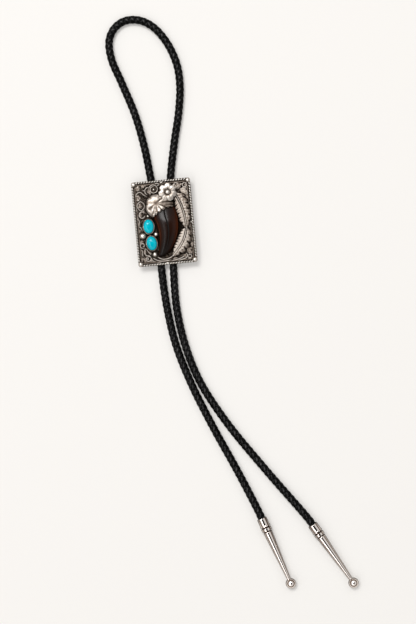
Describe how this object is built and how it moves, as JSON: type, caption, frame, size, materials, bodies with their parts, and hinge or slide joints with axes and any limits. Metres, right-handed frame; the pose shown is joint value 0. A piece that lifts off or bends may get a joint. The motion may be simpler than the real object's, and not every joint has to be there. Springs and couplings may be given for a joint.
{
  "type": "bolo tie",
  "caption": "Bolo tie lying flat: a rectangular relief slide with a claw and oval stones on a looped braided cord with turned metal tips.",
  "frame": {"origin": "under the middle of the slide, on the surface that the tie lies on", "axes": "+X to the wearer's left across the slide, +Y up the slide to the neck loop, +Z out of the slide's face"},
  "size_m": [0.1654, 0.484, 0.016],
  "materials": {
    "antiqued_silver": "cast silver relief, bright on the high points and oxidised dark brown in the recesses",
    "dark_horn": "polished near-black horn with amber where it thins at the edges",
    "turquoise": "polished bright blue turquoise",
    "polished_nickel": "turned and mirror polished nickel silver",
    "braided_leather": "black round-braided leather, softly glossy strands"
  },
  "bodies": {
    "root": {"slide_plate": "antiqued_silver", "claw": "dark_horn", "turquoise_upper": "turquoise", "turquoise_lower": "turquoise", "cord_clip": "polished_nickel", "cord": "braided_leather", "tip_left": "polished_nickel", "tip_right": "polished_nickel"}
  },
  "joints": []
}
